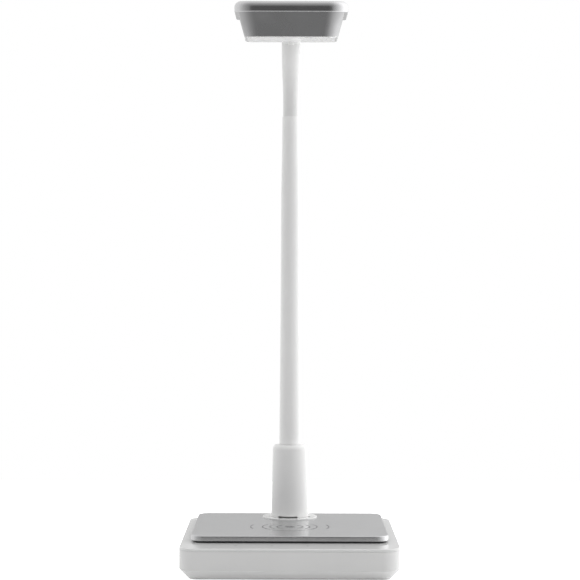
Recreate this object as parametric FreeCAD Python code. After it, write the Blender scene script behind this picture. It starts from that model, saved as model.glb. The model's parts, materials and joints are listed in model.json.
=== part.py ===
"""Desk lamp on a square base with a charging plate and a drawer, millimetres, +Z up.

The origin is the centre of the base's footprint on the table, and the front faces -Y.
The arm swivels on the base, a short beaded gooseneck bends above it, and the head
tilts on a friction hinge. Every piece is its own solid, and one STEP file is one node.
"""
import FreeCAD, Part
import math
import os

V = FreeCAD.Vector
X_AXIS = V(1, 0, 0)
Y_AXIS = V(0, 1, 0)
Z_AXIS = V(0, 0, 1)

# ---- clearances shared by every piece --------------------------------------------
MOVE_GAP = 0.3       # between pieces that move past each other
RUN_FIT = 0.05       # radial, between a shaft and the bore it turns in
FACE_FIT = 0.1       # between flat faces that slide on each other
SEAT_FIT = 0.2       # around a fixed piece in its pocket or hole
CUT = 1.0            # how far a cutting tool runs past the face it opens

# ---- base ------------------------------------------------------------------------
BASE_W = 180.0
BASE_D = 190.0
BASE_H = 26.5
BASE_R = 15.0        # plan corners
BASE_CHAMFER = 8.0   # 45 degrees, round the bottom
DECK_EDGE_R = 1.2
WALL = 2.4
DECK_T = 2.1
PAD_SIDE = 15.0      # base side to pad
PAD_FRONT = 3.7      # housing front to pad
PAD_REAR = 20.0
PAD_T = 0.5
PAD_R = 10.0
FLOOR_T = 3.0        # steel floor plate
PARTITION_T = 2.0
REAR_BAY = 62.5      # base back to partition
POST_R = 3.5
POST_X = 22.0
POST_INSET = 4.0     # post wall to the partition, and to the rear wall's slope

# ---- drawer ----------------------------------------------------------------------
FRONT_T = 16.0
FRONT_WALL = 2.4
TRAY_H = 16.0
TRAY_WALL = 1.8
TRAY_END_GAP = 1.5   # tray to partition
TRAY_CORNER_R = 4.0
RIB_H = 2.4
RIB_W = 3.0
RIB_UP = 6.5         # rib above the tray's bottom
RUNNER_W = 13.3      # base wall to tray, less the running gap
RUNNER_H = 13.0
RUNNER_FRONT = 1.2   # housing front to runner
MAT_T = 1.0
GROOVE_W = 60.0      # finger groove under the drawer front
GROOVE_D = 4.2
GROOVE_H = 5.5
GROOVE_BACK = 2.0

# ---- charging plate --------------------------------------------------------------
PLATE_SIDE = 8.25    # deck edge to plate
PLATE_FRONT = 31.0
PLATE_REAR = 15.5
PLATE_T = 4.25
PLATE_R = 10.5
PLATE_EDGE_R = 1.1
PLATE_SKIN = 1.2
PLATE_RIM = 2.4
CARRIER_T = 1.7
CARRIER_INSET = 1.6
COIL_FRONT = 55.0    # plate front to coil centre
COIL_R = 24.0
COIL_HOLE_R = 10.0
COIL_T = 1.0
FERRITE_R = 25.5
FERRITE_T = 0.8
CHARGER_BOARD = 58.0
CHARGER_BOARD_T = 0.9

# ---- touch keys ------------------------------------------------------------------
KEY_COUNT = 4
KEY_PITCH = 29.3
KEY_INSET = 17.6     # deck edge to key
KEY_R = 1.1
KEY_T = 0.3
TOUCH_BOARD_D = 15.0
TOUCH_BOARD_T = 0.8
TOUCH_BOARD_MARGIN = 11.0

# ---- electronics and weights in the rear bay -------------------------------------
BLOCK_H = 9.0
BLOCK_X = 30.0       # inner face
BLOCK_SIDE = 1.6     # block to the base's slope beside it
BLOCK_REAR = 2.6
BLOCK_FRONT = 3.5    # partition to block
SPACER_R = 2.5
SPACER_H = 3.0
SPACER_INSET = 4.0
BOARD_REAR = 4.6     # board to rear wall
BOARD_T = 1.6
INLET_W = 9.0
INLET_H = 3.2
INLET_L = 8.5
INLET_WALL = 0.3
INLET_FLOOR = 2.0    # closed end of the shell
INLET_TONGUE_SINK = 1.0
INLET_SINK = 1.2     # mouth below the rear wall's face
TONGUE_W = 6.7
TONGUE_T = 0.7

# ---- swivel ----------------------------------------------------------------------
STEM_BACK = 41.5     # base back to stem axis
RING_R = 24.1
RING_T = 0.9
RING_EDGE_R = 0.4
SOCKET_R = 12.0
SOCKET_DROP = 11.2   # tube below the deck
FLANGE_R = 20.0
FLANGE_T = 3.0
SOCKET_PCD_R = 16.5
SOCKET_SCREW_ANGLES = (30, 150, 270)
SPINDLE_R = 7.0
SPINDLE_FLANGE_R = 13.0
SPINDLE_FLANGE_T = 5.0
SPINDLE_BOSS_H = 20.0
LEAD_HOLE_R = 3.2
WASHER_T = 0.5
FRICTION_WASHER_R = 11.0
NUT_AF = 20.0
NUT_H = 6.0

# ---- collar and stem -------------------------------------------------------------
COLLAR_R = 16.6
COLLAR_TOP_R = 15.1
COLLAR_LIP_R = 12.9
COLLAR_H = 63.3
COLLAR_CAP_H = 4.4
CAP_SWELL = 0.7      # how far the cap bows out past its chord
COLLAR_WALL = 2.2
NOTCH_X = -1.7       # the notch's middle, left of the stem's axis
NOTCH_W = 16.6
NOTCH_H = 1.3
STEM_FOOT_R = 9.4
STEM_PROFILE = ((110.0, 8.75), (216.0, 8.55), (270.0, 7.8))  # height over collar, radius
STEM_TOP_R = 7.55
STEM_TOP_Z = 387.2
STEM_BORE_R = 7.35
STEM_BORE_H = 40.0   # straight part over the foot
STEM_MID_BORE_R = 6.85
STEM_TOP_BORE_R = 6.2
PLUG_L = 18.0

# ---- gooseneck -------------------------------------------------------------------
LINK_L = 10.7        # pivot to pivot
LINK_BEND = 9.2      # degrees from one link to the next, at rest
BEND_COUNT = 5
SLEEVE_R = 7.0
SLEEVE_WALL = 1.15
BEAD_R = 5.4
BALL_R = 3.6
BALL_NECK_R = 2.4
CUP_DEPTH = 1.6
SHOULDER_GAP = 3.3   # pivot to the shoulder below it
BEAD_BORE_R = 1.75
LEAD_R = 1.0

# ---- tilt hinge ------------------------------------------------------------------
HINGE_OFFSET = 9.82  # end of the sleeve to the hinge pin
HINGE_W = 14.2
KNUCKLE_H = 6.0
KNUCKLE_EDGE_R = 0.5
KNUCKLE_FLOOR = 2.0  # left solid between the pin and the lead's bore
CHEEK_R = 4.6
CHEEK_T = 2.9
CHEEK_NECK = 4.2
PIVOT_WASHER_T = 0.55
PIVOT_WASHER_R = 4.3
PIN_R = 1.9
PIN_HEAD_R = 3.2
PIN_HEAD_T = 1.25
BRACKET_END_R = 8.0
BRACKET_L = 30.0
BRACKET_T = 1.7
TONGUE_GAP = 1.75    # tongue to the bracket's foot
BOOT_R = 8.1         # soft cover over the hinge
BOOT_WALL = 0.75

# ---- head ------------------------------------------------------------------------
HEAD_DROOP = 6.1     # degrees, front down, at rest
HEAD_REACH = 174.3   # hinge pin to the front of the cover
HEAD_BACK = 33.4
HEAD_FRONT_W = 88.2
HEAD_REAR_W = 97.2
HEAD_R = 15.0
COVER_T = 8.5
COVER_EDGE_R = 4.6
COVER_FOOT_R = 1.0
COVER_SKIN = 1.6
COVER_LIP = 3.0      # how far the cover stands over the body
BODY_H = 18.65
BODY_DRAFT = 5.2     # how far the body's foot stands in from its top
BODY_WALL = 1.8
BODY_FLOOR_T = 1.65
DIFFUSER_T = 2.0
DIFFUSER_PROUD = 0.8
DIFFUSER_LIP = 1.3
WINDOW_LEDGE = 4.6
WINDOW_BACK = 20.0   # window's rear edge in front of the hinge pin
LED_BOARD_T = 1.2
LED_POST_H = 8.0
LED_POST_R = 2.1
LED_SIZE = 2.8
LED_T = 0.8
LED_ROWS = 2
LED_COLUMNS = 11
SPREADER_T = 1.5
EAR_T = 3.0          # cover screw ears inside the body's rim

# ---- screws ----------------------------------------------------------------------
SCREW_R = 1.4
SCREW_HEAD_R = 2.6
SCREW_HEAD_T = 1.2
SCREW_L = 9.0
SCREW_TIP_GAP = 1.0

# ---- heights and places worked out from the sizes above --------------------------
DECK_UNDER = BASE_H - DECK_T
FLOOR_TOP = PAD_T + FLOOR_T
FRONT_Y = -BASE_D / 2
BACK_Y = BASE_D / 2
FRONT_BACK_Y = FRONT_Y + FRONT_T
HOUSING_FRONT_Y = FRONT_BACK_Y + MOVE_GAP
PARTITION_BACK_Y = BACK_Y - REAR_BAY
PARTITION_Y = PARTITION_BACK_Y - PARTITION_T
INNER_W = BASE_W - 2 * WALL
INNER_CHAMFER = BASE_CHAMFER + WALL * (math.sqrt(2) - 1)
INNER_BACK_Y = BACK_Y - WALL
FLOOR_HALF_W = INNER_W / 2 - INNER_CHAMFER - SEAT_FIT
FLOOR_BACK_Y = INNER_BACK_Y - INNER_CHAMFER - SEAT_FIT
POST_FRONT_Y = PARTITION_BACK_Y + POST_INSET
POST_REAR_Y = FLOOR_BACK_Y - POST_INSET
SLOPE_AT_FLOOR = INNER_CHAMFER - FLOOR_T
BLOCK_END_X = INNER_W / 2 - SLOPE_AT_FLOOR - BLOCK_SIDE
BLOCK_FRONT_Y = PARTITION_BACK_Y + BLOCK_FRONT
BLOCK_BACK_Y = INNER_BACK_Y - SLOPE_AT_FLOOR - BLOCK_REAR
BOARD_Z = FLOOR_TOP + BLOCK_H + SPACER_H
TRAY_W = INNER_W - 2 * (RUNNER_W + MOVE_GAP)
TRAY_BOTTOM = FLOOR_TOP + 2 * MOVE_GAP
TRAY_BACK_Y = PARTITION_Y - TRAY_END_GAP
STEM_Y = BACK_Y - STEM_BACK
PLATE_W = BASE_W - 2 * PLATE_SIDE
PLATE_FRONT_Y = FRONT_Y + PLATE_FRONT
PLATE_BACK_Y = BACK_Y - PLATE_REAR
PLATE_BOTTOM = BASE_H + CARRIER_T
PLATE_TOP = PLATE_BOTTOM + PLATE_T
COIL_Y = PLATE_FRONT_Y + COIL_FRONT
KEY_Y = FRONT_Y + KEY_INSET
SOCKET_TOP = PLATE_TOP + RING_T - FACE_FIT
SOCKET_BOTTOM = DECK_UNDER - SOCKET_DROP
SPINDLE_SEAT = SOCKET_TOP + FACE_FIT + WASHER_T
STEM_FOOT_Z = SPINDLE_SEAT + SPINDLE_FLANGE_T
NUT_TOP = SOCKET_BOTTOM - FACE_FIT - WASHER_T
COLLAR_FOOT_Z = PLATE_TOP + RING_T + FACE_FIT
COLLAR_TOP_Z = COLLAR_FOOT_Z + COLLAR_H
NECK_RADIUS = LINK_L / 2 / math.tan(math.radians(LINK_BEND / 2))
NECK_BEND = LINK_BEND * BEND_COUNT
HINGE_TURN = NECK_BEND - HEAD_DROOP
TONGUE_HALF = HINGE_W / 2 - CHEEK_T - PIVOT_WASHER_T - RUN_FIT
BRACKET_FOOT = CHEEK_R + TONGUE_GAP
DIFFUSER_FOOT = BRACKET_FOOT + BRACKET_T
BODY_FOOT = DIFFUSER_FOOT + DIFFUSER_PROUD
BODY_FLOOR = DIFFUSER_FOOT + DIFFUSER_T
BODY_FLOOR_TOP = BODY_FLOOR + BODY_FLOOR_T
BODY_TOP = BODY_FOOT + BODY_H
LED_BOARD_Z = BODY_FLOOR_TOP + LED_POST_H


# ---- shape helpers ---------------------------------------------------------------
def rounded_outline(corners, radius, z):
    """Closed wire through (x, y) corners in order, each rounded by one arc."""
    count = len(corners)
    trimmed = []
    for i, corner in enumerate(corners):
        here = V(corner[0], corner[1], z)
        before = V(corners[i - 1][0], corners[i - 1][1], z)
        after = V(corners[(i + 1) % count][0], corners[(i + 1) % count][1], z)
        back = (before - here).normalize()
        ahead = (after - here).normalize()
        half = back.getAngle(ahead) / 2
        run = radius / math.tan(half)
        middle = (back + ahead).normalize()
        reach = radius / math.sin(half) - radius
        trimmed.append((here + back * run, here + middle * reach, here + ahead * run))
    edges = []
    for i, (start, middle, end) in enumerate(trimmed):
        edges.append(Part.Arc(start, middle, end).toShape())
        edges.append(Part.LineSegment(end, trimmed[(i + 1) % count][0]).toShape())
    return Part.Wire(edges)


def rectangle(x0, x1, y0, y1):
    return ((x0, y0), (x1, y0), (x1, y1), (x0, y1))


def prism(corners, radius, z0, z1):
    """Upright slab over a rounded outline."""
    face = Part.Face(rounded_outline(corners, radius, z0))
    return face.extrude(V(0, 0, z1 - z0))


def box(x0, x1, y0, y1, z0, z1):
    return Part.makeBox(x1 - x0, y1 - y0, z1 - z0, V(x0, y0, z0))


def cylinder(radius, z0, z1, x=0.0, y=0.0):
    return Part.makeCylinder(radius, z1 - z0, V(x, y, z0), Z_AXIS)


def cross_cylinder(radius, x0, x1, y=0.0, z=0.0):
    return Part.makeCylinder(radius, x1 - x0, V(x0, y, z), X_AXIS)


def tube(outer, inner, z0, z1, x=0.0, y=0.0):
    return cylinder(outer, z0, z1, x, y).cut(cylinder(inner, z0 - CUT, z1 + CUT, x, y))


def turned(profile, y=0.0):
    """Solid of revolution about an upright axis from (radius, z) points."""
    points = [V(r, y, z) for r, z in profile]
    wire = Part.makePolygon(points + points[:1])
    return Part.Face(wire).revolve(V(0, y, 0), Z_AXIS, 360)


def hexagon(across_flats, z0, z1, y=0.0):
    radius = across_flats / math.sqrt(3)
    points = []
    for i in range(7):
        angle = math.radians(60 * i)
        points.append(V(radius * math.cos(angle), y + radius * math.sin(angle), z0))
    return Part.Face(Part.makePolygon(points)).extrude(V(0, 0, z1 - z0))


def joined(shapes):
    """One solid from shapes that touch or overlap."""
    return shapes[0].multiFuse(shapes[1:]).removeSplitter()


def group(shapes):
    """Several separate solids in one node."""
    return Part.makeCompound(shapes)


def edges_at(shape, z, tolerance=1e-4):
    """Edges that lie flat at one height."""
    found = []
    for edge in shape.Edges:
        bounds = edge.BoundBox
        if abs(bounds.ZMin - z) < tolerance and abs(bounds.ZMax - z) < tolerance:
            found.append(edge)
    return found


def screw(z_head, length, x, y, up=True):
    """Round-headed screw whose head starts at z_head and whose shank runs up or down."""
    way = 1 if up else -1
    head_end = z_head + way * SCREW_HEAD_T
    tip = head_end + way * length
    head = cylinder(SCREW_HEAD_R, min(z_head, head_end), max(z_head, head_end), x, y)
    shank = cylinder(SCREW_R, min(head_end, tip), max(head_end, tip), x, y)
    return joined([head, shank])


# ---- base ------------------------------------------------------------------------
def base_outline(inset=0.0, front=FRONT_Y):
    half = BASE_W / 2 - inset
    return rectangle(-half, half, front, BACK_Y - inset)


def base_block():
    """Outer form of the base, with the drawer front still part of it."""
    block = prism(base_outline(), BASE_R, PAD_T, BASE_H)
    block = block.makeFillet(DECK_EDGE_R, edges_at(block, BASE_H))
    return block.makeChamfer(BASE_CHAMFER, edges_at(block, PAD_T))


def base_cavity():
    """Inside of the base, parallel to its outer form, from the front face back."""
    front = FRONT_Y + WALL
    cavity = prism(base_outline(WALL, front), BASE_R - WALL, PAD_T, DECK_UNDER)
    cavity = cavity.makeChamfer(INNER_CHAMFER, edges_at(cavity, PAD_T))
    return cavity


def post_places():
    return [(x, y) for x in (-POST_X, POST_X) for y in (POST_FRONT_Y, POST_REAR_Y)]


def socket_screw_places():
    places = []
    for angle in SOCKET_SCREW_ANGLES:
        turn = math.radians(angle)
        places.append((SOCKET_PCD_R * math.cos(turn), STEM_Y + SOCKET_PCD_R * math.sin(turn)))
    return places


def key_places():
    first = -KEY_PITCH * (KEY_COUNT - 1) / 2
    return [(first + KEY_PITCH * i, KEY_Y) for i in range(KEY_COUNT)]


def inlet_centre():
    return -(BLOCK_X + BLOCK_END_X) / 2, BOARD_Z + BOARD_T + INLET_H / 2


def base_housing():
    shell = base_block().cut(base_cavity())
    bay = box(-BASE_W, BASE_W, FRONT_Y - CUT, HOUSING_FRONT_Y, PAD_T - CUT, DECK_UNDER)
    shell = shell.cut(bay)
    wall = box(-INNER_W / 2, INNER_W / 2, PARTITION_Y, PARTITION_BACK_Y, FLOOR_TOP, DECK_UNDER)
    wall = wall.common(base_cavity())
    posts = [cylinder(POST_R, FLOOR_TOP, DECK_UNDER, x, y) for x, y in post_places()]
    shell = joined([shell, wall] + posts)
    holes = [cylinder(SCREW_R, FLOOR_TOP - CUT, FLOOR_TOP + SCREW_L, x, y)
             for x, y in post_places()]
    holes.append(cylinder(SOCKET_R + SEAT_FIT, DECK_UNDER - CUT, BASE_H + CUT, 0, STEM_Y))
    holes += [cylinder(SCREW_R + SEAT_FIT, DECK_UNDER - CUT, BASE_H + CUT, x, y)
              for x, y in socket_screw_places()]
    holes += [cylinder(KEY_R, BASE_H - KEY_T, BASE_H + CUT, x, y) for x, y in key_places()]
    x, z = inlet_centre()
    half_w = INLET_W / 2 + SEAT_FIT
    half_h = INLET_H / 2 + SEAT_FIT
    holes.append(box(x - half_w, x + half_w, INNER_BACK_Y - CUT, BACK_Y + CUT,
                     z - half_h, z + half_h))
    return shell.cut(holes)


def floor_plate():
    outline = rectangle(-FLOOR_HALF_W, FLOOR_HALF_W, HOUSING_FRONT_Y, FLOOR_BACK_Y)
    plate = prism(outline, BASE_R - WALL, PAD_T, FLOOR_TOP)
    holes = []
    for x, y in post_places():
        holes.append(cylinder(SCREW_R + SEAT_FIT, PAD_T - CUT, FLOOR_TOP + CUT, x, y))
        holes.append(cylinder(SCREW_HEAD_R + SEAT_FIT, PAD_T - CUT, PAD_T + SCREW_HEAD_T, x, y))
    return plate.cut(holes)


def floor_screws():
    return group([screw(PAD_T, SCREW_L, x, y) for x, y in post_places()])


def rest_pad():
    half = BASE_W / 2 - PAD_SIDE
    outline = rectangle(-half, half, HOUSING_FRONT_Y + PAD_FRONT, BACK_Y - PAD_REAR)
    return prism(outline, PAD_R, 0.0, PAD_T)


def weight_blocks():
    blocks = []
    for x0, x1 in ((-BLOCK_END_X, -BLOCK_X), (BLOCK_X, BLOCK_END_X)):
        outline = rectangle(x0, x1, BLOCK_FRONT_Y, BLOCK_BACK_Y)
        blocks.append(prism(outline, SPACER_INSET, FLOOR_TOP, FLOOR_TOP + BLOCK_H))
    return group(blocks)


def board_spacers():
    spacers = []
    for x in (-BLOCK_X - SPACER_INSET, -BLOCK_END_X + SPACER_INSET):
        for y in (BLOCK_FRONT_Y + SPACER_INSET, BLOCK_BACK_Y - SPACER_INSET):
            spacers.append(cylinder(SPACER_R, BOARD_Z - SPACER_H, BOARD_Z, x, y))
    return group(spacers)


def main_board():
    return box(-BLOCK_END_X, -BLOCK_X, BLOCK_FRONT_Y, INNER_BACK_Y - BOARD_REAR,
               BOARD_Z, BOARD_Z + BOARD_T)


def power_inlet():
    """Flat charging receptacle: an open steel shell round a contact tongue."""
    x, z = inlet_centre()
    mouth = BACK_Y - INLET_SINK
    back = mouth - INLET_L
    shell = box(x - INLET_W / 2, x + INLET_W / 2, back, mouth, z - INLET_H / 2, z + INLET_H / 2)
    round_r = INLET_H / 2 - INLET_WALL
    shell = shell.makeFillet(round_r, [e for e in shell.Edges if abs(e.Length - INLET_L) < 1e-6])
    half_w = INLET_W / 2 - INLET_WALL
    half_h = INLET_H / 2 - INLET_WALL
    hollow = box(x - half_w, x + half_w, back + INLET_FLOOR, mouth + CUT, z - half_h, z + half_h)
    inner_r = round_r - INLET_WALL
    long_edges = [e for e in hollow.Edges if abs(e.tangentAt(e.FirstParameter).y) > 0.99]
    hollow = hollow.makeFillet(inner_r, long_edges)
    tongue = box(x - TONGUE_W / 2, x + TONGUE_W / 2, back, mouth - INLET_TONGUE_SINK,
                 z - TONGUE_T / 2, z + TONGUE_T / 2)
    return joined([shell.cut(hollow), tongue])


def touch_board():
    half = KEY_PITCH * (KEY_COUNT - 1) / 2 + TOUCH_BOARD_MARGIN
    y0 = HOUSING_FRONT_Y + SEAT_FIT
    return box(-half, half, y0, y0 + TOUCH_BOARD_D, DECK_UNDER - TOUCH_BOARD_T, DECK_UNDER)


def key_marks():
    return group([cylinder(KEY_R, BASE_H - KEY_T, BASE_H, x, y) for x, y in key_places()])


# ---- drawer ----------------------------------------------------------------------
def runner(side):
    """Channel that carries one tray rib, standing on the floor against the side wall."""
    inner = TRAY_W / 2 + MOVE_GAP
    outer = INNER_W / 2
    z0 = FLOOR_TOP
    y0 = HOUSING_FRONT_Y + RUNNER_FRONT
    body = box(inner, outer, y0, PARTITION_Y, z0, z0 + RUNNER_H).common(base_cavity())
    slot_bottom = TRAY_BOTTOM + RIB_UP - FACE_FIT
    slot_top = TRAY_BOTTOM + RIB_UP + RIB_H + MOVE_GAP
    slot = box(inner - CUT, inner + RIB_W + MOVE_GAP, y0 - CUT, PARTITION_Y + CUT,
               slot_bottom, slot_top)
    body = body.cut(slot)
    if side < 0:
        body = body.mirror(V(0, 0, 0), X_AXIS)
    return body


def tray():
    half = TRAY_W / 2
    top = TRAY_BOTTOM + TRAY_H
    outline = rectangle(-half, half, FRONT_BACK_Y, TRAY_BACK_Y)
    body = prism(outline, TRAY_CORNER_R, TRAY_BOTTOM, top)
    hollow = rectangle(-half + TRAY_WALL, half - TRAY_WALL, FRONT_BACK_Y + TRAY_WALL,
                       TRAY_BACK_Y - TRAY_WALL)
    body = body.cut(prism(hollow, TRAY_CORNER_R - TRAY_WALL, TRAY_BOTTOM + TRAY_WALL, top + CUT))
    ribs = []
    rib_z = TRAY_BOTTOM + RIB_UP
    rib_front = FRONT_BACK_Y + FRONT_T
    for x0, x1 in ((-half - RIB_W, -half + TRAY_WALL / 2), (half - TRAY_WALL / 2, half + RIB_W)):
        ribs.append(box(x0, x1, rib_front, TRAY_BACK_Y - TRAY_CORNER_R, rib_z, rib_z + RIB_H))
    body = joined([body] + ribs)
    holes = [along_y(SCREW_R + SEAT_FIT, x, z, FRONT_BACK_Y - CUT, FRONT_BACK_Y + 2 * TRAY_WALL)
             for x, z in drawer_screw_places()]
    return body.cut(holes)


def along_y(radius, x, z, y0, y1):
    return Part.makeCylinder(radius, y1 - y0, V(x, y0, z), Y_AXIS)


def drawer_screw_places():
    z = TRAY_BOTTOM + TRAY_H / 2
    reach = TRAY_W / 2 - 2 * TRAY_CORNER_R
    return [(-reach, z), (-GROOVE_W / 2, z), (GROOVE_W / 2, z), (reach, z)]


def drawer_front():
    """Front slice of the base's outer form, hollow behind, with a finger groove below."""
    top = DECK_UNDER - MOVE_GAP
    window = box(-BASE_W, BASE_W, FRONT_Y - CUT, FRONT_BACK_Y, PAD_T - CUT, top)
    slice_ = base_block().common(window)
    hollow = base_cavity().common(box(-BASE_W, BASE_W, FRONT_Y, FRONT_BACK_Y + CUT,
                                      PAD_T + FRONT_WALL, top - FRONT_WALL))
    groove_back = FRONT_BACK_Y - GROOVE_BACK
    keep = box(-GROOVE_W / 2 - FRONT_WALL, GROOVE_W / 2 + FRONT_WALL, FRONT_Y,
               FRONT_BACK_Y + 2 * CUT, PAD_T, PAD_T + GROOVE_H + FRONT_WALL)
    bosses = [along_y(POST_R, x, z, FRONT_Y + WALL, FRONT_BACK_Y)
              for x, z in drawer_screw_places()]
    front = slice_.cut(hollow.cut([keep] + bosses))
    groove = box(-GROOVE_W / 2, GROOVE_W / 2, groove_back - GROOVE_D, groove_back,
                 PAD_T - CUT, PAD_T + GROOVE_H)
    holes = [along_y(SCREW_R, x, z, FRONT_BACK_Y - SCREW_L + TRAY_WALL, FRONT_BACK_Y + CUT)
             for x, z in drawer_screw_places()]
    return front.cut([groove] + holes)


def drawer_screws():
    screws = []
    head_y = FRONT_BACK_Y + TRAY_WALL
    for x, z in drawer_screw_places():
        head = along_y(SCREW_HEAD_R, x, z, head_y, head_y + SCREW_HEAD_T)
        shank = along_y(SCREW_R, x, z, head_y - SCREW_L, head_y)
        screws.append(joined([head, shank]))
    return group(screws)


def drawer_mat():
    inset = TRAY_WALL + SEAT_FIT
    outline = rectangle(-TRAY_W / 2 + inset, TRAY_W / 2 - inset, FRONT_BACK_Y + inset,
                        TRAY_BACK_Y - inset)
    z0 = TRAY_BOTTOM + TRAY_WALL
    return prism(outline, TRAY_CORNER_R - TRAY_WALL, z0, z0 + MAT_T)


# ---- charging plate --------------------------------------------------------------
def plate_outline(inset=0.0):
    half = PLATE_W / 2 - inset
    return rectangle(-half, half, PLATE_FRONT_Y + inset, PLATE_BACK_Y - inset)


def plate_carrier():
    slab = prism(plate_outline(CARRIER_INSET), PLATE_R - CARRIER_INSET, BASE_H, PLATE_BOTTOM)
    holes = [cylinder(SOCKET_R + SEAT_FIT, BASE_H - CUT, PLATE_BOTTOM + CUT, 0, STEM_Y)]
    holes += [cylinder(SCREW_HEAD_R + SEAT_FIT, BASE_H - CUT, PLATE_BOTTOM + CUT, x, y)
              for x, y in socket_screw_places()]
    return slab.cut(holes)


def charging_plate():
    slab = prism(plate_outline(), PLATE_R, PLATE_BOTTOM, PLATE_TOP)
    slab = slab.makeFillet(PLATE_EDGE_R, edges_at(slab, PLATE_TOP))
    pocket = prism(plate_outline(PLATE_RIM), PLATE_R - PLATE_RIM, PLATE_BOTTOM - CUT,
                   PLATE_TOP - PLATE_SKIN)
    hole = cylinder(SOCKET_R + SEAT_FIT, PLATE_BOTTOM - CUT, PLATE_TOP + CUT, 0, STEM_Y)
    return slab.cut([pocket, hole])


def charger_board():
    half = CHARGER_BOARD / 2
    return box(-half, half, COIL_Y - half, COIL_Y + half, PLATE_BOTTOM,
               PLATE_BOTTOM + CHARGER_BOARD_T)


def ferrite_disc():
    z0 = PLATE_BOTTOM + CHARGER_BOARD_T
    return cylinder(FERRITE_R, z0, z0 + FERRITE_T, 0, COIL_Y)


def charging_coil():
    z0 = PLATE_BOTTOM + CHARGER_BOARD_T + FERRITE_T
    return tube(COIL_R, COIL_HOLE_R, z0, z0 + COIL_T, 0, COIL_Y)


# ---- swivel ----------------------------------------------------------------------
def foot_ring():
    ring = tube(RING_R, SOCKET_R + SEAT_FIT, PLATE_TOP, PLATE_TOP + RING_T, 0, STEM_Y)
    top = [e for e in edges_at(ring, PLATE_TOP + RING_T) if e.BoundBox.XLength > RING_R + SOCKET_R]
    return ring.makeFillet(RING_EDGE_R, top)


def swivel_socket():
    profile = ((SPINDLE_R + RUN_FIT, SOCKET_BOTTOM), (SOCKET_R, SOCKET_BOTTOM),
               (SOCKET_R, DECK_UNDER - FLANGE_T), (FLANGE_R, DECK_UNDER - FLANGE_T),
               (FLANGE_R, DECK_UNDER), (SOCKET_R, DECK_UNDER), (SOCKET_R, SOCKET_TOP),
               (SPINDLE_R + RUN_FIT, SOCKET_TOP))
    socket = turned(profile, STEM_Y)
    holes = [cylinder(SCREW_R, DECK_UNDER - FLANGE_T - CUT, DECK_UNDER + CUT, x, y)
             for x, y in socket_screw_places()]
    return socket.cut(holes)


def socket_screws():
    head = BASE_H + SCREW_HEAD_T
    length = DECK_T + FLANGE_T
    return group([screw(head, length, x, y, up=False) for x, y in socket_screw_places()])


def thrust_washer():
    return tube(SOCKET_R, SPINDLE_R + SEAT_FIT, SPINDLE_SEAT - WASHER_T, SPINDLE_SEAT, 0, STEM_Y)


def friction_washer():
    return tube(FRICTION_WASHER_R, SPINDLE_R + SEAT_FIT, NUT_TOP, NUT_TOP + WASHER_T, 0, STEM_Y)


def swivel_nut():
    nut = hexagon(NUT_AF, NUT_TOP - NUT_H, NUT_TOP, STEM_Y)
    hole = cylinder(SPINDLE_R + RUN_FIT, NUT_TOP - NUT_H - CUT, NUT_TOP + CUT, 0, STEM_Y)
    return nut.cut(hole)


def swivel_spindle():
    boss_r = STEM_BORE_R - RUN_FIT
    top = STEM_FOOT_Z + SPINDLE_BOSS_H
    profile = ((LEAD_HOLE_R, NUT_TOP - NUT_H), (SPINDLE_R, NUT_TOP - NUT_H),
               (SPINDLE_R, SPINDLE_SEAT), (SPINDLE_FLANGE_R, SPINDLE_SEAT),
               (SPINDLE_FLANGE_R, STEM_FOOT_Z), (boss_r, STEM_FOOT_Z), (boss_r, top),
               (LEAD_HOLE_R, top))
    return turned(profile, STEM_Y)


# ---- collar and stem -------------------------------------------------------------
def collar():
    """Tapered shroud over the swivel, with a rounded cap and a notch at the front."""
    bend_z = COLLAR_TOP_Z - COLLAR_CAP_H
    cap_edge = V(COLLAR_TOP_R, STEM_Y, bend_z)
    cap_top = V(COLLAR_LIP_R, STEM_Y, COLLAR_TOP_Z)
    chord = cap_top - cap_edge
    outward = V(chord.z, 0, -chord.x).normalize()
    cap_mid = cap_edge + chord * 0.5 + outward * CAP_SWELL
    hole_r = STEM_FOOT_R + SEAT_FIT
    inner_top = COLLAR_TOP_R - COLLAR_WALL
    inner_foot = COLLAR_R - COLLAR_WALL
    edges = [Part.Arc(cap_edge, cap_mid, cap_top).toShape()]
    corners = (cap_top, V(hole_r, STEM_Y, COLLAR_TOP_Z), V(hole_r, STEM_Y, bend_z),
               V(inner_top, STEM_Y, bend_z), V(inner_foot, STEM_Y, COLLAR_FOOT_Z),
               V(COLLAR_R, STEM_Y, COLLAR_FOOT_Z), cap_edge)
    for start, end in zip(corners, corners[1:]):
        edges.append(Part.LineSegment(start, end).toShape())
    face = Part.Face(Part.Wire(edges))
    shroud = face.revolve(V(0, STEM_Y, 0), Z_AXIS, 360)
    notch = box(NOTCH_X - NOTCH_W / 2, NOTCH_X + NOTCH_W / 2, STEM_Y - COLLAR_R - CUT, STEM_Y,
                COLLAR_FOOT_Z - CUT, COLLAR_FOOT_Z + NOTCH_H)
    return shroud.cut(notch)


def stem():
    outer = [(STEM_FOOT_R, STEM_FOOT_Z), (STEM_FOOT_R, COLLAR_TOP_Z)]
    outer += [(radius, COLLAR_TOP_Z + height) for height, radius in STEM_PROFILE]
    outer.append((STEM_TOP_R, STEM_TOP_Z))
    bore_step = COLLAR_TOP_Z + STEM_PROFILE[1][0]
    inner = [(STEM_TOP_BORE_R, STEM_TOP_Z), (STEM_TOP_BORE_R, STEM_TOP_Z - PLUG_L),
             (STEM_MID_BORE_R, bore_step), (STEM_BORE_R, STEM_FOOT_Z + STEM_BORE_H),
             (STEM_BORE_R, STEM_FOOT_Z)]
    return turned(outer + inner, STEM_Y)


def arm_lead():
    return cylinder(LEAD_R, NUT_TOP - NUT_H, STEM_TOP_Z, 0, STEM_Y)


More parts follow.
